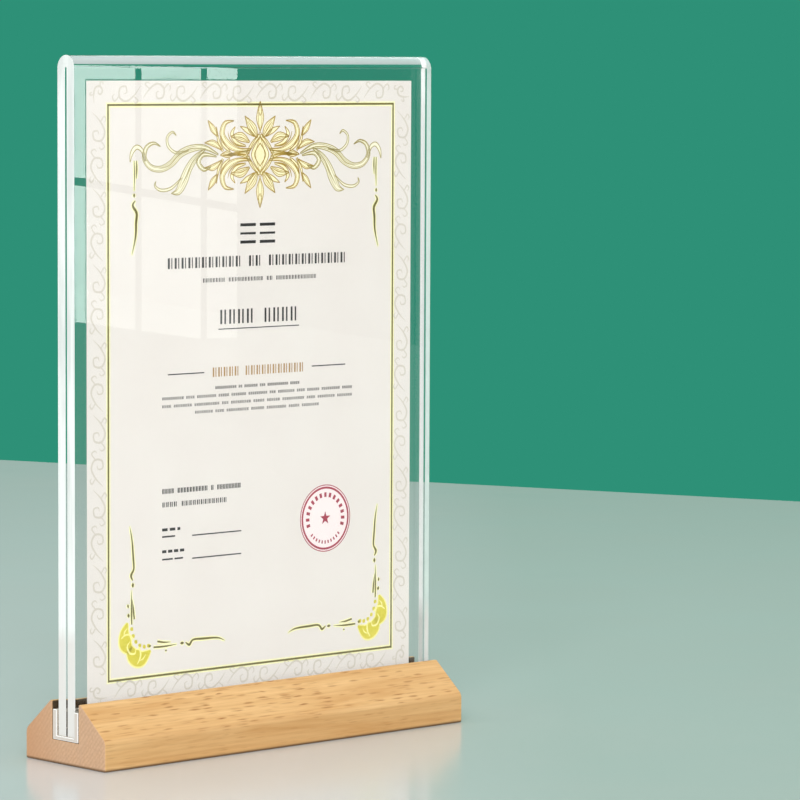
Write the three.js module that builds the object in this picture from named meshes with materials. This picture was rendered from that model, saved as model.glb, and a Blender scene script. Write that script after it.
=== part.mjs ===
// Sign holder: a clear sleeve, folded from one thick acrylic sheet, stands in a lined slot along a wooden
// base and shows a printed sheet between its two legs.
// Millimetres, +Z up. The front faces -Y, the length runs along X, and the origin is the centre of the
// base's underside.

import * as THREE from "three";

// Printed sheet, standard A4 on thin card
const sheetWidth = 210;
const sheetHeight = 297;
const sheetThickness = 0.3;
const sheetTuck = 2.5; // bottom edge below the top of the wooden lips

// Clear sleeve, one sheet of acrylic folded over at the top
const sleeveWall = 5.65;
const sheetClearance = 0.45; // beside the printed sheet, on each face
const sideMargin = 10.5; // clear border at each side of the printed sheet
const foldRoom = 6.35; // from the printed sheet's top edge to the inside of the fold

// Clear channel that lines the slot
const linerWall = 3;
const linerFloor = 2;
const linerDrop = 4; // top of the channel below the top of the lips
const sleeveClearance = 0.3; // between a leg of the sleeve and the channel wall

// Wooden base
const baseDepth = 60;
const baseHeight = 30;
const shoulderHeight = 14.5; // upright part of the front and the back
const woodUnderSlot = 11.5;
const lipWidth = 1.7; // flat top at each side of the slot
const endOverhang = 1; // base beyond the sleeve at each end
const bondLine = 0.3; // glue between the channel and each wall of the slot

// Eased edges of the wood
const lipRadius = 0.7;
const shoulderRadius = 2.5;
const footRadius = 1;
const easedEdgeSteps = 3;
const foldSteps = 12;

// Sleeve sizes
const sleeveGap = sheetThickness + 2 * sheetClearance;
const foldInside = sleeveGap / 2;
const foldOutside = foldInside + sleeveWall;
const sleeveWidth = sheetWidth + 2 * sideMargin;

// Slot, channel and base sizes
const linerInside = foldOutside + sleeveClearance;
const linerOutside = linerInside + linerWall;
const slotHalfWidth = linerOutside + bondLine;
const lipOutside = slotHalfWidth + lipWidth;
const baseLength = sleeveWidth + 2 * endOverhang;

// Heights above the table
const sleeveFoot = woodUnderSlot + linerFloor;
const linerTop = baseHeight - linerDrop;
const sheetFoot = baseHeight - sheetTuck;
const sleeveTop = sheetFoot + sheetHeight + foldRoom + sleeveWall;

// A mesh with its own name and material
function piece(name, geometry, look) {
  const mesh = new THREE.Mesh(geometry, new THREE.MeshStandardMaterial(look));
  mesh.name = name;
  return mesh;
}

// Outlines are drawn in the Y-Z plane and run along X, centred on the middle of the object.
function extrudeAlongX(outline, length, curveSegments) {
  const geometry = new THREE.ExtrudeGeometry(outline, { depth: length, bevelEnabled: false, curveSegments });
  const outlineX = new THREE.Vector3(0, 1, 0);
  const outlineY = new THREE.Vector3(0, 0, 1);
  const alongLength = new THREE.Vector3(1, 0, 0);
  geometry.translate(0, 0, -length / 2);
  geometry.applyMatrix4(new THREE.Matrix4().makeBasis(outlineX, outlineY, alongLength));
  return geometry;
}

// A closed outline through corners of { y, z, radius }, each rounded to its radius. The last one is sharp.
function easedOutline(corners) {
  const outline = new THREE.Shape();
  const last = corners.length - 1;
  outline.moveTo(corners[last].y, corners[last].z);
  for (let index = 0; index <= last; index += 1) {
    const { y, z, radius } = corners[index];
    if (radius === 0) {
      outline.lineTo(y, z);
      continue;
    }
    const previous = corners[index - 1];
    const next = corners[index + 1];
    const here = new THREE.Vector2(y, z);
    const back = new THREE.Vector2(previous.y, previous.z).sub(here).normalize();
    const ahead = new THREE.Vector2(next.y, next.z).sub(here).normalize();
    const halfAngle = Math.acos(back.dot(ahead)) / 2;
    const towardCentre = back.clone().add(ahead).normalize();
    const centre = here.clone().addScaledVector(towardCentre, radius / Math.sin(halfAngle));
    const setback = radius / Math.tan(halfAngle);
    const startAngle = here.clone().addScaledVector(back, setback).sub(centre).angle();
    const endAngle = here.clone().addScaledVector(ahead, setback).sub(centre).angle();
    const clockwise = back.cross(ahead) > 0;
    outline.absarc(centre.x, centre.y, radius, startAngle, endAngle, clockwise);
  }
  outline.closePath();
  return outline;
}

// Solid beech block: upright sides, slopes up to two narrow lips, and a slot open at both ends
function makeWoodBase() {
  const frontHalf = [
    { y: -slotHalfWidth, z: woodUnderSlot, radius: 0 },
    { y: -slotHalfWidth, z: baseHeight, radius: lipRadius },
    { y: -lipOutside, z: baseHeight, radius: lipRadius },
    { y: -baseDepth / 2, z: shoulderHeight, radius: shoulderRadius },
    { y: -baseDepth / 2, z: 0, radius: footRadius },
  ];
  const rearHalf = frontHalf.map((corner) => ({ ...corner, y: -corner.y })).reverse();
  const outline = easedOutline([...frontHalf, ...rearHalf]);
  const geometry = extrudeAlongX(outline, baseLength, easedEdgeSteps);
  return piece("wood_base", geometry, { color: 0xdcb381, roughness: 0.55, metalness: 0 });
}

// Clear U-channel, glued into the slot and as long as the base
function makeSlotLiner() {
  const height = linerTop - woodUnderSlot;
  const outline = new THREE.Shape();
  outline.moveTo(-linerOutside, 0);
  outline.lineTo(linerOutside, 0);
  outline.lineTo(linerOutside, height);
  outline.lineTo(linerInside, height);
  outline.lineTo(linerInside, linerFloor);
  outline.lineTo(-linerInside, linerFloor);
  outline.lineTo(-linerInside, height);
  outline.lineTo(-linerOutside, height);
  outline.closePath();
  const look = { color: 0xeceae2, roughness: 0.2, metalness: 0, transparent: true, opacity: 0.6 };
  const liner = piece("slot_liner", extrudeAlongX(outline, baseLength, 1), look);
  liner.position.z = woodUnderSlot;
  return liner;
}

// Clear sleeve: two upright legs joined by a half-round fold at the top, drawn up from its foot
function makeSleeve() {
  const bendHeight = sleeveTop - sleeveFoot - foldOutside;
  const outline = new THREE.Shape();
  outline.moveTo(-foldOutside, 0);
  outline.lineTo(-foldInside, 0);
  outline.lineTo(-foldInside, bendHeight);
  outline.absarc(0, bendHeight, foldInside, Math.PI, 0, true);
  outline.lineTo(foldInside, 0);
  outline.lineTo(foldOutside, 0);
  outline.lineTo(foldOutside, bendHeight);
  outline.absarc(0, bendHeight, foldOutside, 0, Math.PI, false);
  outline.closePath();
  const look = { color: 0xeaf3ef, roughness: 0.05, metalness: 0, transparent: true, opacity: 0.3 };
  return piece("acrylic_sleeve", extrudeAlongX(outline, sleeveWidth, foldSteps), look);
}

// Printed sheet, gripped lightly between the two legs
function makeInsertSheet() {
  const geometry = new THREE.BoxGeometry(sheetWidth, sheetThickness, sheetHeight);
  const sheet = piece("insert_sheet", geometry, { color: 0xf7f5f0, roughness: 0.7, metalness: 0 });
  sheet.position.z = sheetFoot - sleeveFoot + sheetHeight / 2;
  return sheet;
}

// The wood and its channel stay on the table. The sleeve stands on the channel's floor and lifts out, and
// the printed sheet goes with it.
const base = new THREE.Group();
base.add(makeWoodBase(), makeSlotLiner());

const sleeve = new THREE.Group();
sleeve.position.z = sleeveFoot;
sleeve.add(makeSleeve(), makeInsertSheet());

const signHolder = new THREE.Group();
signHolder.add(base, sleeve);

export default signHolder;
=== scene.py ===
import math

import bmesh
import bpy
from mathutils import Matrix, Vector


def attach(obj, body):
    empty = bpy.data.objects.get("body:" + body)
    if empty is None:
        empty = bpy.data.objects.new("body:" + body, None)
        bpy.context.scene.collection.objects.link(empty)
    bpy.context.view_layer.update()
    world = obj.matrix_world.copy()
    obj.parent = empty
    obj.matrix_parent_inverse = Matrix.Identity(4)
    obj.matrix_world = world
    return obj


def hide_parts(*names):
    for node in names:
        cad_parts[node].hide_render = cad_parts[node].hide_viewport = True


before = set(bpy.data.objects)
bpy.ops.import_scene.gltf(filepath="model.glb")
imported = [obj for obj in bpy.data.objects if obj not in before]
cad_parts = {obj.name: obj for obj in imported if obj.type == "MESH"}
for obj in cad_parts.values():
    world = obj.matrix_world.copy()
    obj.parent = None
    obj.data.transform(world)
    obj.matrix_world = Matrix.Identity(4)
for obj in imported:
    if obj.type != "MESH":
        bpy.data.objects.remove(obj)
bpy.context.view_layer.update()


# Wooden base
# One block of solid beech, planed to upright sides, sloping shoulders and two narrow lips, with a slot
# ploughed along its whole length. Its edges are eased by hand, and the wood has a thin coat of clear oil.

scene = bpy.context.scene
mm = 0.001
base_length, base_height, base_ease = 233, 30, 0.65
base_side, shoulder_height, shoulder_radius, foot_radius = 30, 14.5, 4.5, 1
slot_side, slot_floor = 9.85, 11.5
lip_outside, lip_radius = 11.55, 0.7
beech_half = [
    (-slot_side, slot_floor, 0),
    (-slot_side, base_height, lip_radius),
    (-lip_outside, base_height, lip_radius),
    (-base_side, shoulder_height, shoulder_radius),
    (-base_side, 0, foot_radius),
]


def rounded_section(corners, steps):
    """A closed outline through corners of (y, z, radius), each rounded to its radius."""
    same_point = 0.01
    outline = []
    for index, (y, z, radius) in enumerate(corners):
        here = Vector((y, z))
        if radius == 0:
            outline.append(here)
            continue
        back = (Vector(corners[index - 1][:2]) - here).normalized()
        ahead = (Vector(corners[(index + 1) % len(corners)][:2]) - here).normalized()
        half_angle = back.angle(ahead) / 2
        centre = here + (back + ahead).normalized() * (radius / math.sin(half_angle))
        setback = radius / math.tan(half_angle)
        first = here + back * setback - centre
        last = here + ahead * setback - centre
        start = math.atan2(first.y, first.x)
        sweep = (math.atan2(last.y, last.x) - start + math.pi) % math.tau - math.pi
        for step in range(steps + 1):
            angle = start + sweep * step / steps
            point = centre + radius * Vector((math.cos(angle), math.sin(angle)))
            if not outline or (point - outline[-1]).length > same_point:
                outline.append(point)
    if (outline[0] - outline[-1]).length < same_point:
        outline.pop()
    return outline


def both_halves(front):
    """A closed section from its front half: the corners and their mirror images."""
    return front + [(-y, z, radius) for y, z, radius in reversed(front)]


def new_piece(name, points, edges, faces):
    mesh = bpy.data.meshes.new(name)
    mesh.from_pydata(points, edges, faces)
    piece = bpy.data.objects.new(name, mesh)
    scene.collection.objects.link(piece)
    return piece


def put(tree, kind, sockets=None, **settings):
    """Adds a node, and fills its inputs with values or with links from other nodes."""
    node = tree.nodes.new(kind)
    for name, value in settings.items():
        setattr(node, name, value)
    for name, value in (sockets or {}).items():
        if isinstance(value, bpy.types.Node):
            value = value.outputs[0]
        if isinstance(value, bpy.types.NodeSocket):
            tree.links.new(value, node.inputs[name])
        else:
            node.inputs[name].default_value = value
    return node


def calc(tree, operation, *values):
    return put(tree, "ShaderNodeMath", dict(enumerate(values)), operation=operation).outputs[0]


def times(tree, first, *others):
    for other in others:
        first = calc(tree, "MULTIPLY", first, other)
    return first


def new_tree(name, kind, inputs, outputs):
    """A node tree with named sockets. Returns it with the outputs of its input node."""
    tree = bpy.data.node_groups.new(name, kind)
    for way, sockets in (("INPUT", inputs), ("OUTPUT", outputs)):
        for label, carries in sockets.items():
            tree.interface.new_socket(label, in_out=way, socket_type="NodeSocket" + carries)
    return tree, put(tree, "NodeGroupInput").outputs


def new_shape_tree(name, sizes):
    inputs = {"Geometry": "Geometry", **sizes, "Material": "Material"}
    return new_tree(name, "GeometryNodeTree", inputs, {"Geometry": "Geometry"})


def end_shape_tree(tree, geometry, material):
    """Every tree ends the same way: one real mesh with its material."""
    real = put(tree, "GeometryNodeRealizeInstances", {"Geometry": geometry})
    finished = put(tree, "GeometryNodeSetMaterial", {"Geometry": real, "Material": material})
    put(tree, "NodeGroupOutput", {"Geometry": finished})
    return tree


def make_plain(piece):
    """Keeps what a piece's modifiers make as its own plain mesh."""
    graph = bpy.context.evaluated_depsgraph_get()
    finished = bpy.data.meshes.new_from_object(
        piece.evaluated_get(graph), preserve_all_data_layers=True, depsgraph=graph
    )
    piece.modifiers.clear()
    piece.data = finished


def grow(piece, tree, inputs):
    """Runs a node tree on a piece and keeps the result as a plain mesh."""
    modifier = piece.modifiers.new(tree.name, "NODES")
    modifier.node_group = tree
    for item in tree.interface.items_tree:
        if item.in_out == "INPUT" and item.name in inputs:
            modifier[item.identifier] = inputs[item.name]
    make_plain(piece)


def stored(tree, name, kind):
    """What the points carry under a name."""
    return put(tree, "GeometryNodeInputNamedAttribute", {"Name": name}, data_type=kind)


def build_length_tree():
    """A section drawn in the Y-Z plane, run along X. Four rings of points at each end round its edges off."""
    ring_count = 8
    tree, given = new_shape_tree("section run to length", {"Length": "Float", "Ease": "Float"})
    unit_line = put(tree, "GeometryNodeCurvePrimitiveLine", {"Start": (0, 0, 0), "End": (1, 0, 0)})
    rings = put(tree, "GeometryNodeResampleCurve", {"Curve": unit_line, "Count": ring_count})
    number = put(tree, "GeometryNodeInputIndex")
    from_end = calc(tree, "MINIMUM", number, calc(tree, "SUBTRACT", ring_count - 1, number))
    rounding = times(tree, from_end, math.radians(90) / (ring_count / 2 - 1))
    set_back = calc(tree, "SUBTRACT", 1, calc(tree, "COSINE", rounding))
    drawn_in = calc(tree, "SUBTRACT", 1, calc(tree, "SINE", rounding))
    half_length = times(tree, given["Length"], 0.5)
    reach = calc(tree, "SUBTRACT", half_length, times(tree, set_back, given["Ease"]))
    side = calc(tree, "SIGN", calc(tree, "SUBTRACT", number, (ring_count - 1) / 2))
    ring_place = put(tree, "ShaderNodeCombineXYZ", {"X": times(tree, reach, side)})
    run = put(tree, "GeometryNodeSetPosition", {"Geometry": rings, "Position": ring_place})
    inset = {"Geometry": run, "Name": "drawn_in", "Value": times(tree, drawn_in, given["Ease"])}
    run = put(tree, "GeometryNodeStoreNamedAttribute", inset, data_type="FLOAT", domain="POINT")
    run = put(tree, "GeometryNodeSetCurveNormal", {"Curve": run}, mode="Z_UP")
    run = put(tree, "GeometryNodeSetCurveTilt", {"Curve": run, "Tilt": math.pi})
    section = put(tree, "GeometryNodeMeshToCurve", {"Mesh": given["Geometry"]})
    bar = put(tree, "GeometryNodeCurveToMesh", {"Curve": run, "Profile Curve": section, "Fill Caps": True})
    outward, amount = stored(tree, "outward", "FLOAT_VECTOR"), stored(tree, "drawn_in", "FLOAT")
    inward = {0: outward, "Scale": times(tree, amount, -1)}
    inward = put(tree, "ShaderNodeVectorMath", inward, operation="SCALE")
    bar = put(tree, "GeometryNodeSetPosition", {"Geometry": bar, "Offset": inward})
    return end_shape_tree(tree, bar, given["Material"])


length_tree = build_length_tree()


def face_outward(piece):
    work = bmesh.new()
    work.from_mesh(piece.data)
    bmesh.ops.remove_doubles(work, verts=work.verts, dist=1e-7)
    bmesh.ops.recalc_face_normals(work, faces=work.faces)
    work.to_mesh(piece.data)
    work.free()


def run_section(name, front_half, steps, length, ease, material):
    """A piece with a rounded section along X and eased ends, smooth round its curves and flat elsewhere."""
    outline = rounded_section(both_halves(front_half), steps)
    count = len(outline)
    turns_left = sum(a.x * b.y - b.x * a.y for a, b in zip(outline, outline[1:] + outline[:1])) > 0
    outward = []
    for index, here in enumerate(outline):
        before = (here - outline[index - 1]).normalized()
        after = (outline[(index + 1) % count] - here).normalized()
        sides = [Vector((way.y, -way.x)) if turns_left else Vector((-way.y, way.x)) for way in (before, after)]
        mitre = (sides[0] + sides[1]) / (1 + sides[0].dot(sides[1]))
        outward += (0, mitre.x, mitre.y)
    points = [(y * mm, z * mm, 0) for y, z in outline]
    piece = new_piece(name, points, [(index, (index + 1) % count) for index in range(count)], [])
    piece.data.attributes.new("outward", "FLOAT_VECTOR", "POINT").data.foreach_set("vector", outward)
    grow(piece, length_tree, {"Length": length * mm, "Ease": ease * mm, "Material": material})
    face_outward(piece)
    piece.data.shade_smooth()
    piece.data.set_sharp_from_angle(angle=math.radians(40))
    flat_faces_lead = piece.modifiers.new("flat faces stay flat", "WEIGHTED_NORMAL")
    flat_faces_lead.mode = "FACE_AREA"
    flat_faces_lead.weight = 90
    flat_faces_lead.keep_sharp = True
    make_plain(piece)
    return piece


def swatch(red, green, blue):
    """A colour from a swatch, 0 to 255, in Blender's linear values."""
    parts = [value / 255 for value in (red, green, blue)]
    linear = [part / 12.92 if part <= 0.04045 else ((part + 0.055) / 1.055) ** 2.4 for part in parts]
    return (*linear, 1)


def new_material(name):
    material = bpy.data.materials.new(name)
    material.use_nodes = True
    material.node_tree.nodes.clear()
    return material, material.node_tree


def spread(tree, value, low, high, to_low=0, to_high=1):
    """A value from one range onto another, held inside it."""
    ends = {"Value": value, "From Min": low, "From Max": high, "To Min": to_low, "To Max": to_high}
    return put(tree, "ShaderNodeMapRange", ends).outputs[0]


def tint(tree, amount, first, second, blend="MIX"):
    """One colour over another by an amount."""
    sockets = {0: amount, 6: first, 7: second}
    return put(tree, "ShaderNodeMix", sockets, data_type="RGBA", blend_type=blend).outputs[2]


def stain(tree, under, colour, value, low, high, most=1):
    """A colour laid over another where a value is high, or low with the limits turned round."""
    return tint(tree, spread(tree, value, low, high, 0, most), under, swatch(*colour))


def stretched(tree, place, scale, turn=(0, 0, 0)):
    return put(tree, "ShaderNodeMapping", {"Vector": place, "Rotation": turn, "Scale": scale})


def noise(tree, place, scale, detail=2, roughness=0.5, distortion=0):
    """Soft noise. Three scales stretch it along the axes."""
    if isinstance(scale, tuple):
        place, scale = stretched(tree, place, scale), 1
    sockets = {"Vector": place, "Scale": scale, "Detail": detail}
    sockets |= {"Roughness": roughness, "Distortion": distortion}
    return put(tree, "ShaderNodeTexNoise", sockets).outputs["Fac"]


def on_piece(tree):
    """Where a point is on its piece."""
    return put(tree, "ShaderNodeTexCoord").outputs["Object"]


def axes(tree, vector):
    return put(tree, "ShaderNodeSeparateXYZ", {"Vector": vector}).outputs


def feel(tree, height, strength, depth):
    """The fine relief of a surface, with its depth in mm."""
    return put(tree, "ShaderNodeBump", {"Strength": strength, "Distance": depth * mm, "Height": height})


def dress(material, colour, roughness, relief=None, others=None):
    """The one shader of a plain material."""
    sockets = {"Base Color": colour, "Roughness": roughness, **(others or {})}
    if relief is not None:
        sockets["Normal"] = relief
    shader = put(material.node_tree, "ShaderNodeBsdfPrincipled", sockets)
    put(material.node_tree, "ShaderNodeOutputMaterial", {"Surface": shader})
    return material


def make_oiled_beech():
    material, tree = new_material("oiled beech")
    place = on_piece(tree)
    spot = axes(tree, place)
    facing = axes(tree, put(tree, "ShaderNodeNewGeometry").outputs["Normal"])
    end_grain = spread(tree, calc(tree, "ABSOLUTE", facing["X"]), 0.55, 0.9)
    long_grain = calc(tree, "SUBTRACT", 1, end_grain)
    # Growth rings lie across the block and rise to the front, so they show as diagonal lines on the ends.
    ring_place = stretched(tree, place, (0.05, 1, 1), (math.radians(49), 0, 0))
    ring_sizes = {"Vector": ring_place, "Scale": 165, "Distortion": 4, "Detail": 3, "Detail Scale": 0.8}
    rings = put(tree, "ShaderNodeTexWave", ring_sizes, bands_direction="Z", wave_profile="SIN").outputs["Fac"]
    # Fibres run along the block, fine ones for the feel and broad ones for the honey-coloured bands.
    fine_fibres = noise(tree, place, (16, 760, 760), 5, 0.62)
    broad_bands = noise(tree, place, (9, 105, 105), 4, 0.6, 0.8)
    # Rays of the beech show as short brown dashes, most of them where the slope cuts across the rings.
    sway = {"Vector": stretched(tree, place, (90, 420, 420)), "Scale": 1, "Detail": 2}
    sway = put(tree, "ShaderNodeTexNoise", sway).outputs["Color"]
    sway = put(tree, "ShaderNodeVectorMath", {0: sway, "Scale": 0.7}, operation="SCALE")

    def dashes(along, across, kept, reach):
        """A mask of short dashes along the grain, each with its own strength."""
        level = {"X": times(tree, spot["X"], along), "Y": times(tree, spot["Z"], across)}
        level = put(tree, "ShaderNodeCombineXYZ", level)
        level = put(tree, "ShaderNodeVectorMath", {0: level, 1: sway}, operation="ADD")
        cells = {"Vector": level, "Scale": 1, "Randomness": 1}
        cells = put(tree, "ShaderNodeTexVoronoi", cells, voronoi_dimensions="2D").outputs
        marks = put(tree, "ShaderNodeSeparateColor", {"Color": cells["Color"]}).outputs
        strength = times(tree, spread(tree, marks["Red"], 1 - kept, 1.1 - kept), marks["Green"])
        return times(tree, spread(tree, cells["Distance"], reach, reach * 0.2), strength)

    faint_dashes = times(tree, dashes(55, 1200, 0.5, 0.36), 0.6)
    flecks = calc(tree, "MAXIMUM", dashes(85, 820, 0.6, 0.36), faint_dashes)
    clusters = noise(tree, place, (34, 60, 60))
    on_slope = spread(tree, facing["Z"], 0.25, 0.6, 0.35, 1)
    flecks = times(tree, flecks, spread(tree, clusters, 0.3, 0.58, 0.7, 1.1), on_slope, long_grain)
    wood = stain(tree, swatch(229, 188, 131), (207, 158, 99), broad_bands, 0.3, 0.7)
    wood = stain(tree, wood, (190, 139, 81), fine_fibres, 0.4, 0.75, 0.42)
    wood = stain(tree, wood, (181, 132, 79), rings, 0.55, 1, 0.1)
    wood = tint(tree, flecks, wood, swatch(162, 109, 56))
    cut_end = stain(tree, swatch(220, 181, 145), (202, 161, 127), rings, 0.3, 0.95, 0.5)
    cut_end = stain(tree, cut_end, (190, 148, 117), fine_fibres, 0.4, 0.7, 0.5)
    cut_end = stain(tree, cut_end, (203, 169, 141), broad_bands, 0.35, 0.65, 0.35)
    cut_end = stain(tree, cut_end, (202, 148, 105), spot["Y"], 2 * mm, 28 * mm, 0.6)
    wood = tint(tree, end_grain, wood, cut_end)
    # The walls of the slot get painted shade, dark where they lie in shadow inside the slot.
    off_middle = calc(tree, "ABSOLUTE", spot["Y"])
    slot_shade_mask = times(tree, spread(tree, off_middle, 10.3 * mm, 9.9 * mm, 0, 0.95), long_grain)
    wood = tint(tree, slot_shade_mask, wood, swatch(56, 44, 33))
    # Painted contact shadow: the lowest 1.5 mm of the foot is darker where it stands on the table.
    wood = stain(tree, wood, (112, 82, 54), spot["Z"], 1.5 * mm, 0.7 * mm, 0.8)
    relief = calc(tree, "SUBTRACT", times(tree, fine_fibres, 0.8), flecks)
    relief = calc(tree, "MULTIPLY_ADD", rings, 0.25, relief)
    roughness = spread(tree, fine_fibres, 0.3, 0.75, 0.42, 0.62)
    return dress(material, wood, roughness, feel(tree, relief, 0.35, 0.12), {"Specular IOR Level": 0.25})


beech_base = run_section("beech_base", beech_half, 8, base_length, base_ease, make_oiled_beech())
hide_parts("wood_base")
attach(beech_base, "base")


# Channel liner
# A clear plastic channel, drawn through a die and cut to the length of the base, so fine lines run along
# it and its cut ends look white, with a faint painted glow and painted highlights on their rims. It is
# bonded into the slot.

liner_outside, liner_inside, liner_ease = 9.55, 6.55, 0.42
liner_floor, liner_top = 13.5, 26
liner_half = [
    (-liner_inside, liner_floor, 0.3),
    (-liner_inside, liner_top, 0.5),
    (-liner_outside, liner_top, 0.5),
    (-liner_outside, slot_floor, 0.5),
]


def build_drawn_lines():
    """Fine parallel lines that a die or a polishing wheel leaves in clear plastic."""
    inputs = {"Place": "Vector", "Smooth": "Float", "Worn": "Float"}
    outputs = {"Roughness": "Float", "Height": "Float"}
    group, given = new_tree("drawn lines", "ShaderNodeTree", inputs, outputs)
    lines = noise(group, given["Place"], 1, 3, 0.55)
    extra = calc(group, "SUBTRACT", given["Worn"], given["Smooth"])
    roughness = calc(group, "MULTIPLY_ADD", spread(group, lines, 0.3, 0.75), extra, given["Smooth"])
    put(group, "NodeGroupOutput", {"Roughness": roughness, "Height": lines})
    return group


drawn_lines = build_drawn_lines()


def add_lines(tree, scale, smooth, worn):
    """Places the drawn lines in a material, stretched along the way they run."""
    sockets = {"Place": stretched(tree, on_piece(tree), scale), "Smooth": smooth, "Worn": worn}
    return put(tree, "ShaderNodeGroup", sockets, node_tree=drawn_lines).outputs


def make_milky_channel():
    material, tree = new_material("milky channel")
    lines = add_lines(tree, (6, 900, 900), 0.16, 0.34)
    milky = stain(tree, swatch(240, 232, 220), (226, 214, 198), lines["Height"], 0.35, 0.7)
    relief = feel(tree, lines["Height"], 0.2, 0.03)
    return dress(material, milky, lines["Roughness"], relief, {"IOR": 1.5, "Transmission Weight": 0.4})


def cut_plastic(name, bright, dull, shaded, glow):
    """The cut end of clear plastic, with a painted glow for the light it gathers and painted shade low down.
    Its colour drifts with height.
    """
    material, tree = new_material(name)
    place = on_piece(tree)
    spot = axes(tree, place)
    lines = add_lines(tree, (900, 900, 14), 0.14, 0.3)
    drift = noise(tree, place, (0, 150, 17))
    near = stain(tree, swatch(*bright), dull, drift, 0.44, 0.62)
    near = stain(tree, near, dull, lines["Height"], 0.35, 0.7, 0.3)
    # Painted shade: below 58 to 66 mm the end takes the shaded colour.
    near = stain(tree, near, shaded, spot["Z"], 66 * mm, 58 * mm)
    # The far end is seen from inside, through the width of the plastic. Its colours are painted light for what
    # each leg gathers: mint for the front leg and near white for the rear one, with painted shade low down.
    from_inside = put(tree, "ShaderNodeNewGeometry").outputs["Backfacing"]
    front_leg, rear_leg = swatch(198, 215, 209), (252, 252, 251)
    far = stain(tree, front_leg, rear_leg, spot["Y"], -1 * mm, 1 * mm)
    far = stain(tree, far, (212, 213, 208), spot["Z"], 62 * mm, 50 * mm)
    # A painted glow, pale green seen from outside and pinker seen from inside.
    painted_glow_colour = tint(tree, from_inside, (0.93, 1, 0.98, 1), (0.9, 0.75, 0.82, 1))
    relief = feel(tree, lines["Height"], 0.15, 0.02)
    light = {"Emission Color": painted_glow_colour, "Emission Strength": glow}
    return dress(material, tint(tree, from_inside, near, far), lines["Roughness"], relief, light)


# The rims round the cut ends are painted near white as highlights. The last number of each is the strength of
# its painted glow.
rim_with_painted_highlight = cut_plastic("rim with painted highlight", (252, 254, 253), (246, 249, 248), (246, 246, 244), 0.1)
cut_channel = cut_plastic("cut channel end", (228, 222, 214), (214, 206, 197), (217, 209, 200), 0.02)


def paint_ends(piece, flat, rim):
    """The faces that look along X get the material of a cut end, and the eased edges round them the rim's."""
    first = len(piece.data.materials)
    piece.data.materials.append(flat)
    piece.data.materials.append(rim)
    for face in piece.data.polygons:
        along = abs(face.normal.x)
        if along > 0.3:
            face.material_index = first if along > 0.98 else first + 1


channel_liner = run_section("channel_liner", liner_half, 3, base_length, liner_ease, make_milky_channel())
paint_ends(channel_liner, cut_channel, rim_with_painted_highlight)
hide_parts("slot_liner")
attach(channel_liner, "base")


# Clear sleeve
# One thick sheet of cast acrylic, heated along a line and bent over on itself like a hairpin. Its edges are
# polished; the white that they take from the light gathered in the whole sheet is painted on them, with a
# painted glow. It stands loose in the channel.

sleeve_width, sleeve_ease = 231, 0.15
leg_outside, leg_inside = 6.25, 0.6
sleeve_top, fold_inside = 336.5, 330.85
sleeve_half = [
    (-leg_inside, fold_inside, leg_inside),
    (-leg_inside, liner_floor, 0.2),
    (-leg_outside, liner_floor, 0.3),
    (-leg_outside, sleeve_top, leg_outside),
]


def make_clear_acrylic():
    material, tree = new_material("clear acrylic")
    smears = noise(tree, on_piece(tree), (28, 28, 11), 4, 0.6)
    acrylic = {
        "Base Color": (0.982, 0.99, 0.986, 1),
        "Roughness": spread(tree, smears, 0.45, 0.8, 0, 0.035),
        "IOR": 1.49,
        "Transmission Weight": 1,
        "Normal": feel(tree, smears, 0.04, 0.02),
    }
    acrylic = put(tree, "ShaderNodeBsdfPrincipled", acrylic)
    let_light_through = put(tree, "ShaderNodeBsdfTransparent", {"Color": (0.93, 0.945, 0.94, 1)})
    shadow_ray = put(tree, "ShaderNodeLightPath").outputs["Is Shadow Ray"]
    both = put(tree, "ShaderNodeMixShader", {0: shadow_ray, 1: acrylic, 2: let_light_through})
    put(tree, "ShaderNodeOutputMaterial", {"Surface": both})
    return material


clear_sleeve = run_section("clear_sleeve", sleeve_half, 12, sleeve_width, sleeve_ease, make_clear_acrylic())
cut_edge = cut_plastic("polished edge with painted glow", (246, 251, 249), (222, 228, 226), (228, 227, 223), 0.06)
paint_ends(clear_sleeve, cut_edge, rim_with_painted_highlight)
# The feet of the two legs are cut edges too, with the same painted glow.
for face in clear_sleeve.data.polygons:
    if face.normal.z < -0.5 and face.center.z < (liner_floor + 0.5) * mm:
        face.material_index = clear_sleeve.data.materials.find(cut_edge.name)
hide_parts("acrylic_sleeve")
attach(clear_sleeve, "sleeve")


# Printed sheet
# A sheet of A4 card, trimmed square, matt white on both faces. The two legs of the sleeve hold it upright,
# and it slides out of either open side.

sheet_width, sheet_foot, sheet_top = 210, 27.5, 324.5
card_half, card_ease = 0.15, 0.06
card_front = [(-card_half, sheet_foot, card_ease), (-card_half, sheet_top, card_ease)]


def make_matt_card():
    material, tree = new_material("matt white card")
    place = on_piece(tree)
    cloud = noise(tree, place, 22, 3)
    pulp = noise(tree, place, 1700, 4, 0.65)
    card = stain(tree, swatch(236, 229, 224), (233, 225, 220), cloud, 0.35, 0.68)
    card = stain(tree, card, (227, 219, 213), pulp, 0.3, 0.75, 0.3)
    roughness = spread(tree, pulp, 0.3, 0.75, 0.62, 0.82)
    return dress(material, card, roughness, feel(tree, pulp, 0.25, 0.03), {"Specular IOR Level": 0.3})


printed_card = run_section("printed_card", card_front, 2, sheet_width, card_ease, make_matt_card())
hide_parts("insert_sheet")
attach(printed_card, "insert")


# Gold border and crest
# A single ruled border and a scrolled crest of leaves at its top, printed in gold ink with a pale wash
# inside the leaves. The ink lies on the front of the card as a film of a few hundredths of a millimetre.

wash_film, line_film = 0.012, 0.03
thinnest = 0.02
print_axis = 3  # the print stands 3 mm to the right of the middle of the sheet
crest_axis, crest_height = print_axis + 0.7, 288.5


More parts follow.
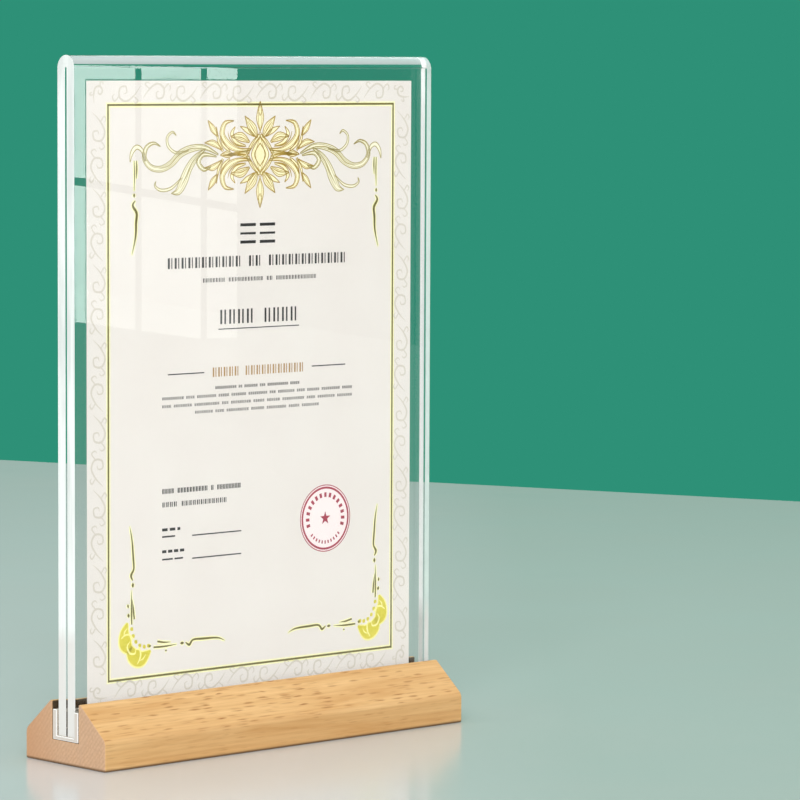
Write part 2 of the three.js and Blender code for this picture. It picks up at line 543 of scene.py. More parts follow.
def ink_from_curves(tree, curves, ink):
    """The nodes that turn flat curves with a half width at each point into closed films of ink."""
    flat = put(tree, "GeometryNodeSetCurveNormal", {"Curve": curves}, mode="Z_UP")
    nib = put(tree, "GeometryNodeCurvePrimitiveLine", {"Start": (-1, 0, 0), "End": (1, 0, 0)})
    ribbon = {"Curve": flat, "Profile Curve": nib, "Scale": stored(tree, "half_width", "FLOAT")}
    ribbon = put(tree, "GeometryNodeCurveToMesh", ribbon)
    upward = put(tree, "ShaderNodeCombineXYZ", {"Z": 1})
    raised = {"Mesh": ribbon, "Offset": upward, "Offset Scale": ink, "Individual": False}
    raised = put(tree, "GeometryNodeExtrudeMesh", raised)
    under = put(tree, "GeometryNodeFlipFaces", {"Mesh": ribbon})
    film = put(tree, "GeometryNodeJoinGeometry", {0: under})
    tree.links.new(raised.outputs[0], film.inputs[0])
    return put(tree, "GeometryNodeMergeByDistance", {"Geometry": film, "Distance": 1e-6})


def build_ink_tree():
    """Strokes are drawn flat, with the line's half width at each point, and get the thickness of the ink."""
    tree, given = new_shape_tree("ink strokes", {"Ink": "Float"})
    curves = put(tree, "GeometryNodeMeshToCurve", {"Mesh": given["Geometry"]})
    return end_shape_tree(tree, ink_from_curves(tree, curves, given["Ink"]), given["Material"])


ink_tree = build_ink_tree()


def flow(points, per_span=7):
    """Points of (across, up, half width), with a flowing curve through them."""
    last = len(points) - 1
    flowing = []
    for span in range(last):
        around = [points[min(max(span + shift, 0), last)] for shift in (-1, 0, 1, 2)]
        for step in range(per_span):
            t = step / per_span
            weights = (2 * t**2 - t**3 - t, 2 - 5 * t**2 + 3 * t**3, t + 4 * t**2 - 3 * t**3, t**3 - t**2)
            flowing.append([sum(w * v for w, v in zip(weights, values)) / 2 for values in zip(*around)])
    return flowing + [points[-1]]


def line(points, half_width, closed=False):
    return ([(across, up, half_width) for across, up in points], closed)


def brush(*points):
    """A flowing stroke that swells and tapers, through points of (across, up, half width)."""
    return (flow(points), False)


def brushes(*strokes):
    return [brush(*points) for points in strokes]


def outline_of(stroke, half_width):
    """The line round a brush stroke."""
    points = [(across, up, max(wide, thinnest)) for across, up, wide in stroke[0]]
    left, right = [], []
    for index, (across, up, wide) in enumerate(points):
        before = points[max(index - 1, 0)]
        after = points[min(index + 1, len(points) - 1)]
        way = Vector((after[0] - before[0], after[1] - before[1])).normalized()
        left.append((across - way.y * wide, up + way.x * wide))
        right.append((across + way.y * wide, up - way.x * wide))
    return line(left + right[::-1], half_width, closed=True)


def mirrored(strokes, across=1, up=1):
    """The strokes turned over, left to right with across -1 or top to bottom with up -1."""
    return [([(a * across, u * up, wide) for a, u, wide in points], closed) for points, closed in strokes]


def moved(strokes, across, up):
    return [([(a + across, u + up, wide) for a, u, wide in points], closed) for points, closed in strokes]


def widened(strokes, extra, share=1):
    return [([(a, u, wide * share + extra) for a, u, wide in points], closed) for points, closed in strokes]


def both_ways(strokes, across=-1):
    """Strokes on the right, repeated on the left."""
    return strokes + mirrored(strokes, across)


def four_ways(strokes):
    """Strokes of one quarter, repeated left and right, above and below."""
    return both_ways(strokes) + mirrored(both_ways(strokes), up=-1)


def onto_sheet(piece):
    """Stands a flat print up on the front face of the card."""
    upright = Matrix.Rotation(math.pi / 2, 4, "X")
    piece.data.transform(Matrix.Translation((0, -card_half * mm, 0)) @ upright)
    face_outward(piece)
    piece.data.shade_flat()
    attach(piece, "insert")


def strokes_to_edges(name, strokes):
    """Strokes in mm as loose edges in metres, each point with its half width."""
    points, edges, half_widths = [], [], []
    for stroke, closed in strokes:
        first = len(points)
        for across, up, wide in stroke:
            points.append((across * mm, up * mm, 0))
            half_widths.append(max(wide, thinnest) * mm)
        last = len(points) - 1
        edges += [(index, index + 1) for index in range(first, last)]
        if closed:
            edges.append((last, first))
    piece = new_piece(name, points, edges, [])
    piece.data.attributes.new("half_width", "FLOAT", "POINT").data.foreach_set("value", half_widths)
    return piece


def print_strokes(name, strokes, film, material):
    piece = strokes_to_edges(name, strokes)
    grow(piece, ink_tree, {"Ink": film * mm, "Material": material})
    onto_sheet(piece)


def build_laid_ink():
    """Ink laid on card: a little lighter where it lies thin, over the tooth of the card."""
    inputs = {"Place": "Vector", "Full": "Color", "Thin": "Color", "Shine": "Float"}
    outputs = {"Color": "Color", "Roughness": "Float", "Height": "Float"}
    group, given = new_tree("laid ink", "ShaderNodeTree", inputs, outputs)
    tooth = noise(group, given["Place"], 900, 3, 0.6)
    drift = noise(group, given["Place"], 60)
    thin_drift = spread(group, drift, 0.4, 0.7, 0, 0.4)
    thinness = calc(group, "MULTIPLY_ADD", spread(group, tooth, 0.4, 0.7), 0.45, thin_drift)
    colour = tint(group, thinness, given["Full"], given["Thin"])
    roughness = calc(group, "MULTIPLY_ADD", tooth, 0.25, given["Shine"])
    put(group, "NodeGroupOutput", {"Color": colour, "Roughness": roughness, "Height": tooth})
    return group


laid_ink = build_laid_ink()


def new_ink(name, full, thin, shine):
    """A printing ink: its full and its thin colour, and how dull it is."""
    material, tree = new_material(name)
    sockets = {"Place": on_piece(tree), "Full": swatch(*full), "Thin": swatch(*thin), "Shine": shine}
    look = put(tree, "ShaderNodeGroup", sockets, node_tree=laid_ink).outputs
    return dress(material, look["Color"], look["Roughness"], feel(tree, look["Height"], 0.2, 0.02))


gold_ink = new_ink("gold ink", (172, 138, 44), (198, 168, 74), 0.3)
pale_gold = new_ink("pale gold wash", (249, 239, 192), (250, 243, 210), 0.45)
arm_gold = new_ink("olive gold ink", (164, 148, 78), (186, 172, 112), 0.35)
arm_wash = new_ink("pale arm wash", (248, 241, 212), (248, 243, 222), 0.45)
border_gold = new_ink("dark gold border", (104, 95, 36), (126, 115, 50), 0.3)
border_wash = new_ink("border wash", (249, 244, 190), (250, 246, 206), 0.45)

border_corners = [(-92, 38), (92.5, 38), (92.5, 313), (-92, 313)]


def frame_of_bars(half_width):
    """Four straight bars that meet square at the corners of the border."""
    bars = []
    for index, (across, up) in enumerate(border_corners):
        next_across, next_up = border_corners[(index + 1) % 4]
        way = Vector((next_across - across, next_up - up)).normalized() * half_width
        bars.append(line([(across - way.x, up - way.y), (next_across - way.x, next_up - way.y)], half_width))
    return bars


border_wash_half, border_line_half = 1.25, 0.48
print_strokes("border_wash", frame_of_bars(border_wash_half), wash_film, border_wash)
print_strokes("border_line", frame_of_bars(border_line_half), line_film, border_gold)

# The quarter of the crest that repeats above and below, left and right
crest_quarter = brushes(
    [(1.8, 8.4, 0.4), (5.2, 13, 2.5), (9.8, 18.8, 0.05)],
    [(7, 6.2, 0.4), (12.4, 8.8, 2.1), (19, 9, 0.05)],
    [
        (6.4, 2.6, 0.4), (14, 2.5, 1), (20.6, 5.2, 1.6), (24.4, 10, 1.5), (22.6, 15.4, 1),
        (17, 16.6, 0.1),
    ],
    [(27.4, 9.2, 0.3), (30.4, 12.8, 1.5), (33.4, 16.8, 0.05)],
    [(24.6, 2.6, 0.3), (30, 5.8, 1.5), (35.6, 6, 0.05)],
    [(24, 2, 0.5), (26.8, 7, 0.6), (28.2, 13.6, 0.1)],
    [(0.2, 9.6, 0.6), (4.6, 5.6, 0.9), (8.6, 0.4, 0.6)],
    [(3.8, 9, 0.3), (8.4, 11.8, 1.1), (12.8, 13.8, 0.05)],
    [(9.6, 4.4, 0.3), (15.4, 6.2, 0.8), (18.2, 10.2, 0.9), (16.2, 13.6, 0.1)],
    [(19.6, 1.8, 0.3), (23.6, 5, 0.8), (25.8, 9.6, 0.05)],
)
# The half that repeats left and right: the arm with its curls and the hook at its end
crest_half = brushes(
    [
        (26.5, 0.4, 0.3), (34.8, 3.8, 1.1), (43, 3.4, 1.6), (50, 0.9, 1.7), (55.4, -3.6, 1.6),
        (61.8, -6.2, 1.4), (68.2, -5.2, 1.3), (71.9, -0.8, 1.2), (70.6, 4.2, 1), (66.2, 6.2, 0.6),
        (62.2, 4.6, 0.1),
    ],
    [
        (45, 2.6, 0.2), (52.2, 1.4, 0.5), (57.2, 4.4, 0.6), (58, 8.8, 0.5), (54.8, 11.4, 0.4),
        (52.6, 9.8, 0.1),
    ],
    [
        (34.6, 3, 0.3), (40.6, -1.2, 1.5), (45, -6.4, 2), (48, -12.2, 2.4), (51.2, -17, 1.7),
        (55.4, -18, 0.05),
    ],
    [
        (49.4, -10.8, 0.2), (55.4, -15.4, 0.6), (61.6, -16.4, 0.6), (65.4, -14.4, 0.4),
        (65, -12.2, 0.1),
    ],
    [(27.6, -0.6, 0.3), (35.6, 0.4, 1), (38.8, -3.2, 1.2), (35.4, -6.8, 0.9), (31, -5.6, 0.1)],
    [(71.4, -2.2, 0.4), (73.4, 2.8, 0.8), (76.8, 4.4, 1), (79.6, 1.6, 0.8), (80.6, -2.6, 0.1)],
)
# The middle: two finials, a lens and the buds at its sides
finial = [brush((0, 11.6, 0.2), (0, 18, 2.3), (0, 26, 0.05))]
lens = [brush((0, -8.6, 0.05), (0, 0, 5.6), (0, 8.6, 0.05))]
side_buds = [
    brush((8, 0, 1.8), (14, 0.6, 0.9), (21, 0, 0.4)),
    brush((16.8, 0, 0.1), (21, 0.4, 1.6), (25.6, 0, 0.1)),
]
crest_limbs = finial + mirrored(finial, up=-1) + lens + both_ways(side_buds) + four_ways(crest_quarter)
left_arm, left_tail = -1.02, -1.03  # the left arm is a little longer than the right one
arm_limbs = both_ways(crest_half, left_arm)

# Veins of the leaves, the rings of the lens and the tips of the two finials
leaf_veins = [
    brush((2.2, 9, 0.12), (4.8, 12.6, 0.25), (7.8, 16.2, 0.1)),
    brush((7.6, 6.6, 0.12), (12, 8.4, 0.25), (16.4, 8.9, 0.1)),
    brush((9, 3.9, 0.12), (15, 4.6, 0.3), (19.4, 7.6, 0.3), (20.8, 11.4, 0.1)),
    outline_of(brush((0, 19, 0.05), (0, 22.2, 1.2), (0, 25.6, 0.05)), 0.17),
]
lens_rings = [
    outline_of(brush((0, -5.6, 0.05), (0, 0, 3.6), (0, 5.6, 0.05)), 0.26),
    outline_of(brush((0, -11.2, 0.05), (0, 0, 7.2), (0, 11.2, 0.05)), 0.2),
]
bud_veins = [brush((9, 0, 0.3), (15, 0.4, 0.6), (24, 0, 0.3))]
crest_veins = lens_rings + both_ways(bud_veins) + four_ways(leaf_veins)
arm_veins = brushes(
    [(37, 2, 0.1), (42.6, -3.4, 0.3), (46.4, -10, 0.3), (50, -15.4, 0.1)],
    [(36, 3.6, 0.1), (44, 3.2, 0.3), (51, 0.2, 0.35), (56.6, -4.4, 0.3), (63, -6.2, 0.1)],
)

# Strands, a drop and a wavering tip hang from each end of the crest.
tail = brushes(
    [(77.4, -2, 0.2), (77.2, -9, 0.3), (77.4, -16.6, 0.08)],
    [(75.9, -2, 0.2), (75.8, -6, 0.38), (76, -10.6, 0.08)],
    [(77.4, -17.6, 0.1), (77.4, -18.6, 0.6), (77.4, -19.6, 0.1)],
    [
        (76.7, -21, 0.2), (78.2, -23.4, 0.6), (75.9, -27.2, 0.7), (76.3, -32, 0.66),
        (76.6, -38.4, 0.5), (78.8, -47, 0.08),
    ],
)
crest_tails = moved(both_ways(tail, left_tail), crest_axis, crest_height)


def crest_drawing(limbs, veins, broad_half=1.15, inner_share=0.52):
    """The lines round the limbs, with a second line inside the broad leaves and scrolls."""
    broad = [limb for limb in limbs if max(wide for _, _, wide in limb[0]) > broad_half]
    drawn = [outline_of(limb, 0.22) for limb in limbs] + veins
    drawn += [outline_of(limb, 0.13) for limb in widened(broad, 0, inner_share)]
    return moved(drawn, crest_axis, crest_height)


# The middle is drawn in gold, and the arms lie just over it in a softer olive.
arm_lift, tail_wash = 0.002, 0.6
arm_drawing = crest_drawing(arm_limbs, both_ways(arm_veins, left_arm))
print_strokes("crest_wash", moved(crest_limbs, crest_axis, crest_height), wash_film, pale_gold)
print_strokes("crest_lines", crest_drawing(crest_limbs, crest_veins), line_film, gold_ink)
print_strokes("arm_wash", moved(arm_limbs, crest_axis, crest_height), wash_film + arm_lift, arm_wash)
print_strokes("arm_lines", arm_drawing, line_film + arm_lift, arm_gold)
print_strokes("crest_tail_wash", widened(crest_tails, tail_wash), wash_film, border_wash)
print_strokes("crest_tails", crest_tails, line_film, border_gold)


# Corner scrolls
# A pair of shell-like crescents in each lower corner, printed in bright yellow gold, with strands, drops and
# a wavering tip that run up the side and along the bottom.

yellow_gold = new_ink("bright yellow gold", (214, 200, 48), (238, 226, 100), 0.3)
corner_wash = new_ink("corner wash", (248, 240, 150), (250, 244, 180), 0.45)
lights_film = 0.04
corner_axis, corner_lift = print_axis - 1.1, 0.6


def lobe(path, *half_widths):
    return brush(*((across, up, wide) for (across, up), wide in zip(path, half_widths)))


upper_lobe = [(82.2, 64.6), (84, 59.8), (83.4, 54.4), (80.4, 50.6)]
lower_lobe = [(81, 52.4), (78.4, 48.2), (73.6, 46.6), (67.8, 50)]
crescent_wash = [lobe(upper_lobe, 0.9, 3.3, 4.4, 2.4), lobe(lower_lobe, 2.4, 4.5, 4.4, 0.9)]
crescents = [lobe(upper_lobe, 0.3, 2.5, 3.5, 1.6), lobe(lower_lobe, 1.6, 3.6, 3.5, 0.3)]
beads = [(79.6, 61.4), (78.6, 58), (77, 55), (74.6, 53), (71.8, 52.2), (69.2, 52.4)]
crescents += [brush((a - 0.7, u - 0.8, 0.3), (a, u, 1), (a + 0.7, u + 0.8, 0.3)) for a, u in beads]
crescent_lights = brushes(
    [(78.4, 56.4, 0.3), (80.8, 58.6, 0.45), (83.6, 58.8, 0.45), (86.2, 57.2, 0.2)],
    [(75.4, 52.6, 0.3), (74.2, 50, 0.45), (74.4, 47, 0.45), (76.2, 44, 0.2)],
    [(80.6, 55.6, 0.1), (82.4, 53, 0.4), (80.8, 49.8, 0.5), (77.8, 49.4, 0.4), (77.2, 51.4, 0.1)],
    [(71, 48.4, 0.1), (72.6, 46.4, 0.35), (75, 45.6, 0.1)],
    [(82.2, 62, 0.1), (84, 60.4, 0.35), (84.6, 58, 0.1)],
)
side_tail = brushes(
    [(79.6, 63.6, 0.34), (79.8, 71, 0.34), (79.7, 80.2, 0.05)],
    [(78, 66, 0.4), (78.5, 70.6, 0.38), (79.2, 75.6, 0.05)],
    [(78.9, 81.3, 0.1), (78.9, 82.5, 0.7), (78.9, 83.7, 0.1)],
    [
        (78.9, 84.8, 0.24), (80, 87.2, 0.6), (78.3, 90.4, 0.46), (78.6, 95.6, 0.52),
        (79.4, 104.2, 0.38), (80.8, 111, 0.05),
    ],
    [(81.4, 67, 0.1), (81.6, 68, 0.7), (81.8, 69, 0.1)],
    [(81.8, 71.6, 0.1), (81.9, 72.6, 0.5), (82, 73.6, 0.1)],
)
foot_tail = brushes(
    [(66, 51.3, 0.4), (58.6, 51.2, 0.4), (51.2, 51.6, 0.05)],
    [(63.6, 54, 0.45), (59.4, 53.2, 0.4), (55, 53, 0.05)],
    [(49.2, 51.8, 0.1), (48, 51.8, 0.7), (46.8, 51.8, 0.1)],
    [
        (45.8, 52, 0.24), (43.4, 50.6, 0.6), (41, 52.8, 0.46), (34.8, 52.8, 0.52),
        (25.4, 52.4, 0.38), (20.6, 50.6, 0.05),
    ],
    [(69.2, 52.2, 0.1), (68.4, 52.2, 0.7), (67.6, 52.2, 0.1)],
    [(58.8, 49.2, 0.1), (58.2, 49.1, 0.5), (57.6, 49, 0.1)],
)


def both_corners(strokes):
    return moved(both_ways(strokes), corner_axis, corner_lift)


corner_tails = both_corners(side_tail + foot_tail)
print_strokes("corner_wash", both_corners(crescent_wash), wash_film, corner_wash)
print_strokes("corner_crescents", both_corners(crescents), line_film, yellow_gold)
print_strokes("corner_lights", both_corners(crescent_lights), lights_film, corner_wash)
print_strokes("corner_tail_wash", widened(corner_tails, tail_wash), wash_film, border_wash)
print_strokes("corner_tails", corner_tails, line_film, border_gold)


# Margin scrolls
# A faint row of curling tendrils, printed tone on tone all the way round between the border and the edge
# of the card. One tendril repeats, turned to and fro.

margin_wide, margin_high, tendrils = 196.8, 286.2, 54
margin_across, margin_up = 0.2, 175.8
tone_ink = new_ink("pale margin tone", (213, 204, 192), (221, 213, 202), 0.5)

tendril = brushes(
    [
        (-8.3, -3.1, 0.1), (-4.3, 1.4, 0.4), (0.7, 4.2, 0.5), (4.7, 2.1, 0.5), (4.3, -2.1, 0.48),
        (0.9, -2.8, 0.43), (0.2, -0.2, 0.34), (1.9, 0.7, 0.18),
    ],
    [(-4, 1.7, 0.28), (-6.6, 3.8, 0.38), (-5.2, 5, 0.33), (-3.8, 4, 0.12)],
    [(4.6, 1.4, 0.28), (7.6, 4, 0.38), (9, 2.1, 0.33), (7.8, 0.7, 0.12)],
)


def build_margin_tree():
    """One tendril, set on stops round a rectangle and turned to and fro."""
    sizes = {"Wide": "Float", "High": "Float", "Tendrils": "Int", "Ink": "Float"}
    tree, given = new_shape_tree("tendrils round the margin", sizes)
    sides = {"Width": given["Wide"], "Height": given["High"]}
    way_round = put(tree, "GeometryNodeCurvePrimitiveQuadrilateral", sides)
    stops = put(tree, "GeometryNodeResampleCurve", {"Curve": way_round, "Count": given["Tendrils"]})
    heading = axes(tree, put(tree, "GeometryNodeInputTangent"))
    along_way = calc(tree, "ARCTAN2", heading["Y"], heading["X"])
    every_other = calc(tree, "MODULO", put(tree, "GeometryNodeInputIndex"), 2)
    turn = calc(tree, "MULTIPLY_ADD", every_other, math.pi, along_way)
    # At a corner the row runs askew, so the tendril there is smaller.
    askew = calc(tree, "ABSOLUTE", times(tree, heading["X"], heading["Y"]))
    row = {
        "Points": stops,
        "Instance": put(tree, "GeometryNodeMeshToCurve", {"Mesh": given["Geometry"]}),
        "Rotation": put(tree, "ShaderNodeCombineXYZ", {"Z": turn}),
        "Scale": spread(tree, askew, 0.1, 0.4, 1, 0.62),
    }
    row = put(tree, "GeometryNodeInstanceOnPoints", row)
    row = put(tree, "GeometryNodeRealizeInstances", {"Geometry": row})
    return end_shape_tree(tree, ink_from_curves(tree, row, given["Ink"]), given["Material"])


margin_sizes = {"Wide": margin_wide * mm, "High": margin_high * mm, "Tendrils": tendrils, "Ink": wash_film * mm}
margin_scrolls = strokes_to_edges("margin_scrolls", tendril)
grow(margin_scrolls, build_margin_tree(), {**margin_sizes, "Material": tone_ink})
margin_scrolls.data.transform(Matrix.Translation((margin_across * mm, margin_up * mm, 0)))
onto_sheet(margin_scrolls)


# Lines of print
# Rows of plain upright strokes and level bars, printed on the front of the card in black ink, with one row
# in orange gold. They have the length and the weight of lines of print.

black_ink = new_ink("black ink", (34, 32, 32), (52, 50, 50), 0.4)
orange_gold = new_ink("orange gold ink", (172, 132, 76), (188, 152, 100), 0.35)


def row_of_stems(left, right, foot, height, words, heavy, fine):
    """Upright strokes in groups, a heavy one and a fine one in turn."""
    pitch = (right - left) / (sum(words) + len(words) - 1)
    strokes = []
    across = left
    for count in words:
        for _ in range(count):
            for share, half_width in ((0.24, heavy), (0.68, fine)):
                stem = across + share * pitch
                strokes.append(line([(stem, foot), (stem, foot + height)], half_width))
            across += pitch
        across += pitch
    return strokes


def row_of_bars(left, right, middle, half_height, words):
    """Level bars of different lengths in a row, with a small gap after each."""
    gap = 0.8
    pitch = (right - left) / (sum(words) + gap * (len(words) - 1))
    strokes = []
    across = left
    for count in words:
        strokes.append(line([(across, middle), (across + count * pitch, middle)], half_height))
        across += (count + gap) * pitch
    return strokes


# Rows of stems: left, right, foot, height, strokes in each group, heavy and fine half width
stem_rows = [
    (-55.5, 61, 234.2, 5.2, (11, 2, 12), 0.62, 0.3),
    (-33, 41, 227, 2, (7, 11, 2, 13), 0.3, 0.18),
    (-22.6, 28.9, 206.4, 7, (4, 4), 0.6, 0.5),
    (-25, 30, 174.9, 1.4, (11, 2, 7, 3, 11, 5), 0.2, 0.14),
    (-58.7, 65.3, 171.1, 1.4, (10, 4, 9, 5, 7, 9, 3, 8, 4, 6, 9, 5), 0.2, 0.14),
    (-58.7, 65.3, 167.3, 1.4, (4, 8, 11, 3, 9, 5, 6, 10, 4, 8, 7), 0.2, 0.14),
    (-38, 43, 163.6, 1.4, (8, 4, 10, 6, 9, 5, 8), 0.2, 0.14),
    (-58.7, -8.3, 125.8, 2.4, (4, 10, 1, 8), 0.36, 0.22),
    (-58.7, -17.3, 119.3, 2.4, (4, 12), 0.36, 0.22),
]
# Rows of bars: left, right, middle, half height, length of each bar
bar_rows = [
    (-58.7, -47.3, 108.4, 0.7, (2, 2, 1)),
    (-58.7, -50.5, 105, 0.4, (6,)),
    (-58.7, -44.8, 97.8, 0.7, (2, 2, 2, 2)),
    (-58.7, -45.5, 94, 0.4, (5, 4)),
]
# Single bars and ruled lines: left, right, height, half width
title_bars = [(254.4, 0.75), (250.2, 0.55), (246, 0.75)]
ruled_lines = [(start, start + 10, *bar) for start in (-9, 3.6) for bar in title_bars]
ruled_lines += [
    (-23, 29.4, 204, 0.25),
    (-55, -32, 183.3, 0.28),
    (38, 60.5, 183.3, 0.28),
    (-39.7, -8.2, 104.5, 0.3),
    (-39.7, -8.2, 93.3, 0.3),
]
black_lines = []
for start, end, height, half_width in ruled_lines:
    black_lines.append(line([(start, height), (end, height)], half_width))
for stem_row in stem_rows:
    black_lines += row_of_stems(*stem_row)
for bar_row in bar_rows:
    black_lines += row_of_bars(*bar_row)
orange_line = row_of_stems(-27, 33, 180.9, 4.6, (5, 11), 0.48, 0.28)
print_strokes("black_print", black_lines, line_film, black_ink)
print_strokes("orange_print", orange_line, line_film, orange_gold)


# Round seal
# A plain stamped seal: two rings, two arcs of small blocks and a star, in crimson stamp ink over a faint
# pink wash.

seal_across, seal_up = 47.3, 106.8
seal_wash_film = 0.01
stamp_ink = new_ink("crimson stamp ink", (162, 38, 64), (182, 68, 90), 0.45)
stamp_wash = new_ink("stamp wash", (250, 234, 234), (250, 240, 239), 0.5)


def ring(radius, half_width, steps=72):
    turns = [math.tau * step / steps for step in range(steps)]
    points = [(radius * math.cos(angle), radius * math.sin(angle)) for angle in turns]
    return line(points, half_width, closed=True)


def spoke(degrees, *points):
    """A stroke from the middle of the seal outward, through points of (reach, half width)."""
    angle = math.radians(degrees)
    return ([(math.cos(angle) * reach, math.sin(angle) * reach, wide) for reach, wide in points], False)


seal = [ring(16.6, 0.24), ring(15.3, 0.52)]
seal += [spoke(196 - 15.2 * block, (10.6, 0.75), (12.9, 0.75)) for block in range(15)]
seal += [spoke(222 + 9.6 * block, (11.2, 0.42), (12.8, 0.42)) for block in range(11)]
seal += [spoke(90 + 72 * point, (0, thinnest), (1.1, 0.8), (3.5, thinnest)) for point in range(5)]
print_strokes("seal_wash", moved([ring(8.4, 8.38)], seal_across, seal_up), seal_wash_film, stamp_wash)
print_strokes("round_seal", moved(seal, seal_across, seal_up), line_film, stamp_ink)


# Floor, backdrop and light
# A pale, faintly glossy table top in front of a green wall, a large soft lamp at the front left, a smaller
# one overhead, and a window whose panes show only as a reflection in the acrylic.

wall_green, room_grey = swatch(46, 144, 119), swatch(76, 78, 76)
far_left, far_right = Vector((0.8174, 1.2542, 0)), Vector((1.071, 0.5857, 0))
table_overhang, table_depth = 6, 9
stand_middle = Vector((0, 0, 0.15))


def make_table_top():
    material, tree = new_material("pale table top")
    place = on_piece(tree)
    spot = axes(tree, place)
    patches = noise(tree, place, 9, 3)
    further_back = spread(tree, spot["Y"], -0.25, 0.25)
    shade = tint(tree, further_back, (0.492, 0.56, 0.537, 1), (0.555, 0.611, 0.596, 1))
    shade = tint(tree, spread(tree, patches, 0.35, 0.7, 0, 0.5), shade, (0.5, 0.545, 0.522, 1))
    # Its left half is a little paler, as painted light.
    to_right = calc(tree, "MULTIPLY_ADD", spot["X"], 0.73, times(tree, spot["Y"], -0.68))
    shade = tint(tree, spread(tree, to_right, 0.16, 0.02), shade, (1.17, 1.1, 1.15, 1), "MULTIPLY")
    return dress(material, shade, spread(tree, patches, 0.3, 0.7, 0.17, 0.21))


edge_way = (far_right - far_left).normalized()
to_front = Vector((edge_way.y, -edge_way.x, 0)) * table_depth
left_end, right_end = far_left - edge_way * table_overhang, far_right + edge_way * table_overhang
table_corners = [left_end, right_end, right_end + to_front, left_end + to_front]
table = new_piece("table_top", table_corners, [], [(3, 2, 1, 0)])
table.data.materials.append(make_table_top())


def make_green_wall():
    """The wall is what is seen, and the light of the room is what falls on things."""
    world = bpy.data.worlds.new("green wall")
    world.use_nodes = True
    tree = world.node_tree
    tree.nodes.clear()
    ray = put(tree, "ShaderNodeLightPath").outputs
    seen = calc(tree, "MAXIMUM", ray["Is Camera Ray"], ray["Is Glossy Ray"])
    seen = calc(tree, "MAXIMUM", seen, ray["Is Transmission Ray"])
    seen = times(tree, seen, calc(tree, "LESS_THAN", ray["Diffuse Depth"], 0.5))
    # What the acrylic mirrors from in front of the stand is the dim room.
    toward = axes(tree, put(tree, "ShaderNodeTexCoord").outputs["Generated"])
    dim_room = times(tree, ray["Is Glossy Ray"], calc(tree, "LESS_THAN", toward["Y"], -0.1))
    behind = tint(tree, dim_room, wall_green, room_grey)
    wall = put(tree, "ShaderNodeBackground", {"Color": behind, "Strength": 1})
    room_light = put(tree, "ShaderNodeBackground", {"Color": (1, 0.985, 0.96, 1), "Strength": 0.75})
    mixed = put(tree, "ShaderNodeMixShader", {0: seen, 1: room_light, 2: wall})
    put(tree, "ShaderNodeOutputWorld", {"Surface": mixed})
    return world


scene.world = make_green_wall()


def soft_lamp(name, direction, distance, wide, high, power):
    """A rectangular soft lamp that looks at the middle of the stand."""
    lamp = bpy.data.lights.new(name, "AREA")
    lamp.shape = "RECTANGLE"
    lamp.size = wide
    lamp.size_y = high
    lamp.energy = power
    holder = bpy.data.objects.new(name, lamp)
    holder.location = stand_middle + Vector(direction).normalized() * distance
    holder.rotation_euler = Vector(direction).to_track_quat("Z", "Y").to_euler()
    holder.visible_glossy = False
    scene.collection.objects.link(holder)


soft_lamp("front_left_lamp", (-0.58, -0.62, 0.53), 4.5, 2.6, 2, 127)
soft_lamp("overhead_lamp", (0.05, 0.15, 1), 1.5, 1.2, 1.2, 6)

# The window stands where the front of the sleeve reflects it to the viewer. It is brighter beside and above
# the sheet, where both legs reflect it, and it reaches up for the fold to reflect too.
viewer = Vector((-1.37051, -1.56769, 0.33312))
window_reach, fold_rise = 3.1, 2.6
window_foot, bar_under, bar_over, fold_line, fold_top = 211, 275.2, 279, 325.2, 336
bar_slope, bar_start = 0.147, -112
pane_light, bright_light, sky_light = 0, 1, 2
window_lights = [((0.95, 1, 0.98, 1), 1.35), ((0.95, 1, 0.98, 1), 10.8), ((0.54, 0.94, 1, 1), 1.15)]
window_points, window_faces, window_looks = [], [], []


def add_face(corners, look):
    first = len(window_points)
    window_points.extend(corners)
    window_faces.append((first, first + 1, first + 2, first + 3))
    window_looks.append(look)


def add_pane(corners, look, lift=0):
    """One pane, by where its lower and then its upper corners show on the front of the sleeve."""
    pane = []
    for (across, up), rise in zip(corners, (0, 0, lift, lift)):
        mirror_spot = Vector((across * mm, -leg_outside * mm, up * mm))
        way = (mirror_spot - viewer).normalized()
        pane.append(mirror_spot + Vector((way.x, -way.y, way.z)) * window_reach + Vector((0, 0, rise)))
    add_face(pane, look)


def leaning(level, across):
    """The window's level bars run down to the right in the reflection."""
    return (across, level - bar_slope * (across - bar_start))


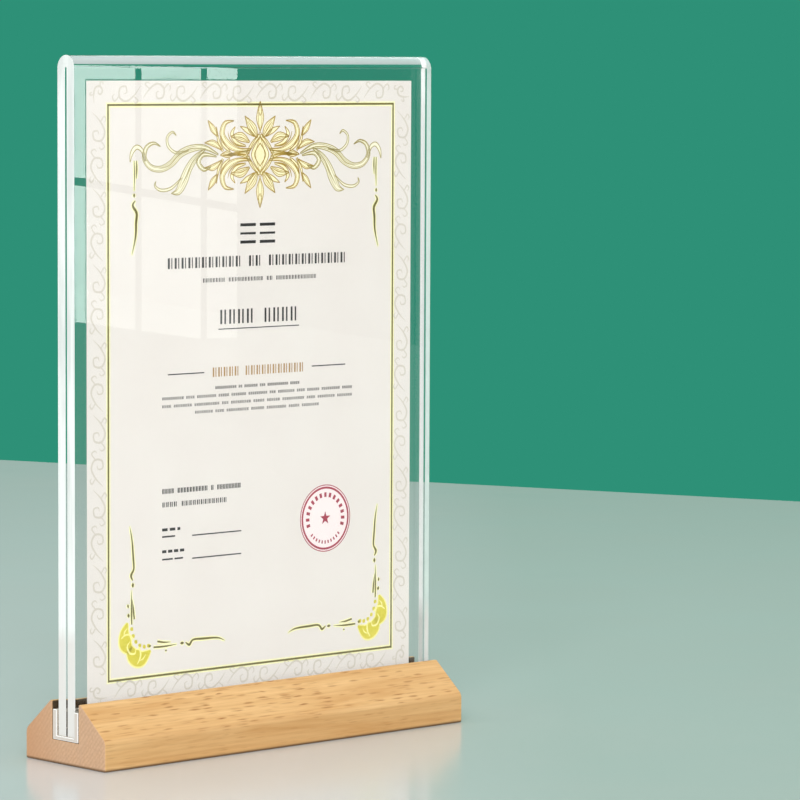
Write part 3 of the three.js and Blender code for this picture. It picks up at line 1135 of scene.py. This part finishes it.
pane_columns = [
    (-115.5, -108.8, bright_light),
    (-108.8, -78.4, pane_light),
    (-74.6, -37.4, pane_light),
    (-33.6, -14.3, pane_light),
]
for start, end, look in pane_columns:
    under_bar = [leaning(bar_under, end), leaning(bar_under, start)]
    add_pane([leaning(window_foot, start), leaning(window_foot, end), *under_bar], look)
    add_pane([leaning(bar_over, start), leaning(bar_over, end), (end, fold_line), (start, fold_line)], look)
for start, end in ((-115.5, -78.4), (-74.6, -37.4), (-33.6, -14.3)):
    corners = [(start, fold_line), (end, fold_line), (end, fold_top), (start, fold_top)]
    add_pane(corners, bright_light, fold_rise)
sky_corners = ((0.7, -1.7, 1.75), (2.8, -1.7, 1.75), (2.8, 1.7, 1.75), (0.7, 1.7, 1.75))
add_face([Vector(corner) for corner in sky_corners], sky_light)


def make_window_light(colour, strength):
    """It adds light to a first reflection only, and is clear besides."""
    material, tree = new_material("window light")
    first_mirror = calc(tree, "LESS_THAN", put(tree, "ShaderNodeLightPath").outputs["Glossy Depth"], 1.5)
    glow = {"Color": colour, "Strength": times(tree, first_mirror, strength)}
    glow = put(tree, "ShaderNodeEmission", glow)
    both = put(tree, "ShaderNodeAddShader", {0: put(tree, "ShaderNodeBsdfTransparent"), 1: glow})
    put(tree, "ShaderNodeOutputMaterial", {"Surface": both})
    return material


window = new_piece("window_panes", window_points, [], window_faces)
for colour, strength in window_lights:
    window.data.materials.append(make_window_light(colour, strength))
window.data.polygons.foreach_set("material_index", window_looks)
for ray_kind in ("camera", "diffuse", "transmission", "volume_scatter", "shadow"):
    setattr(window, "visible_" + ray_kind, False)
# The table top doesn't mirror the window.
no_window = bpy.data.collections.new("no window in it")
no_window.objects.link(table)
no_window.collection_objects[0].light_linking.link_state = "EXCLUDE"
window.light_linking.receiver_collection = no_window


# Camera
# It stands at the front left, a little above the sheet, and sees the stand with a long lens. Light runs a
# long way inside clear plastic before it comes out, so it may bounce many times.

yaw, pitch, roll = math.radians(43.181), math.radians(-4.5231), math.radians(0.2478)
light_bounces = 128
long_lens = bpy.data.cameras.new("viewer")
long_lens.sensor_fit = "HORIZONTAL"
long_lens.sensor_width = 36
long_lens.lens = 191.356
long_lens.clip_end = 100
camera = bpy.data.objects.new("viewer", long_lens)
turned, tipped = Matrix.Rotation(-yaw, 4, "Z"), Matrix.Rotation(math.pi / 2 + pitch, 4, "X")
camera.matrix_world = Matrix.Translation(viewer) @ turned @ tipped @ Matrix.Rotation(roll, 4, "Z")
scene.collection.objects.link(camera)
scene.camera = camera

scene.view_settings.view_transform = "Standard"
scene.cycles.max_bounces = light_bounces
scene.cycles.glossy_bounces = light_bounces
scene.cycles.transmission_bounces = light_bounces
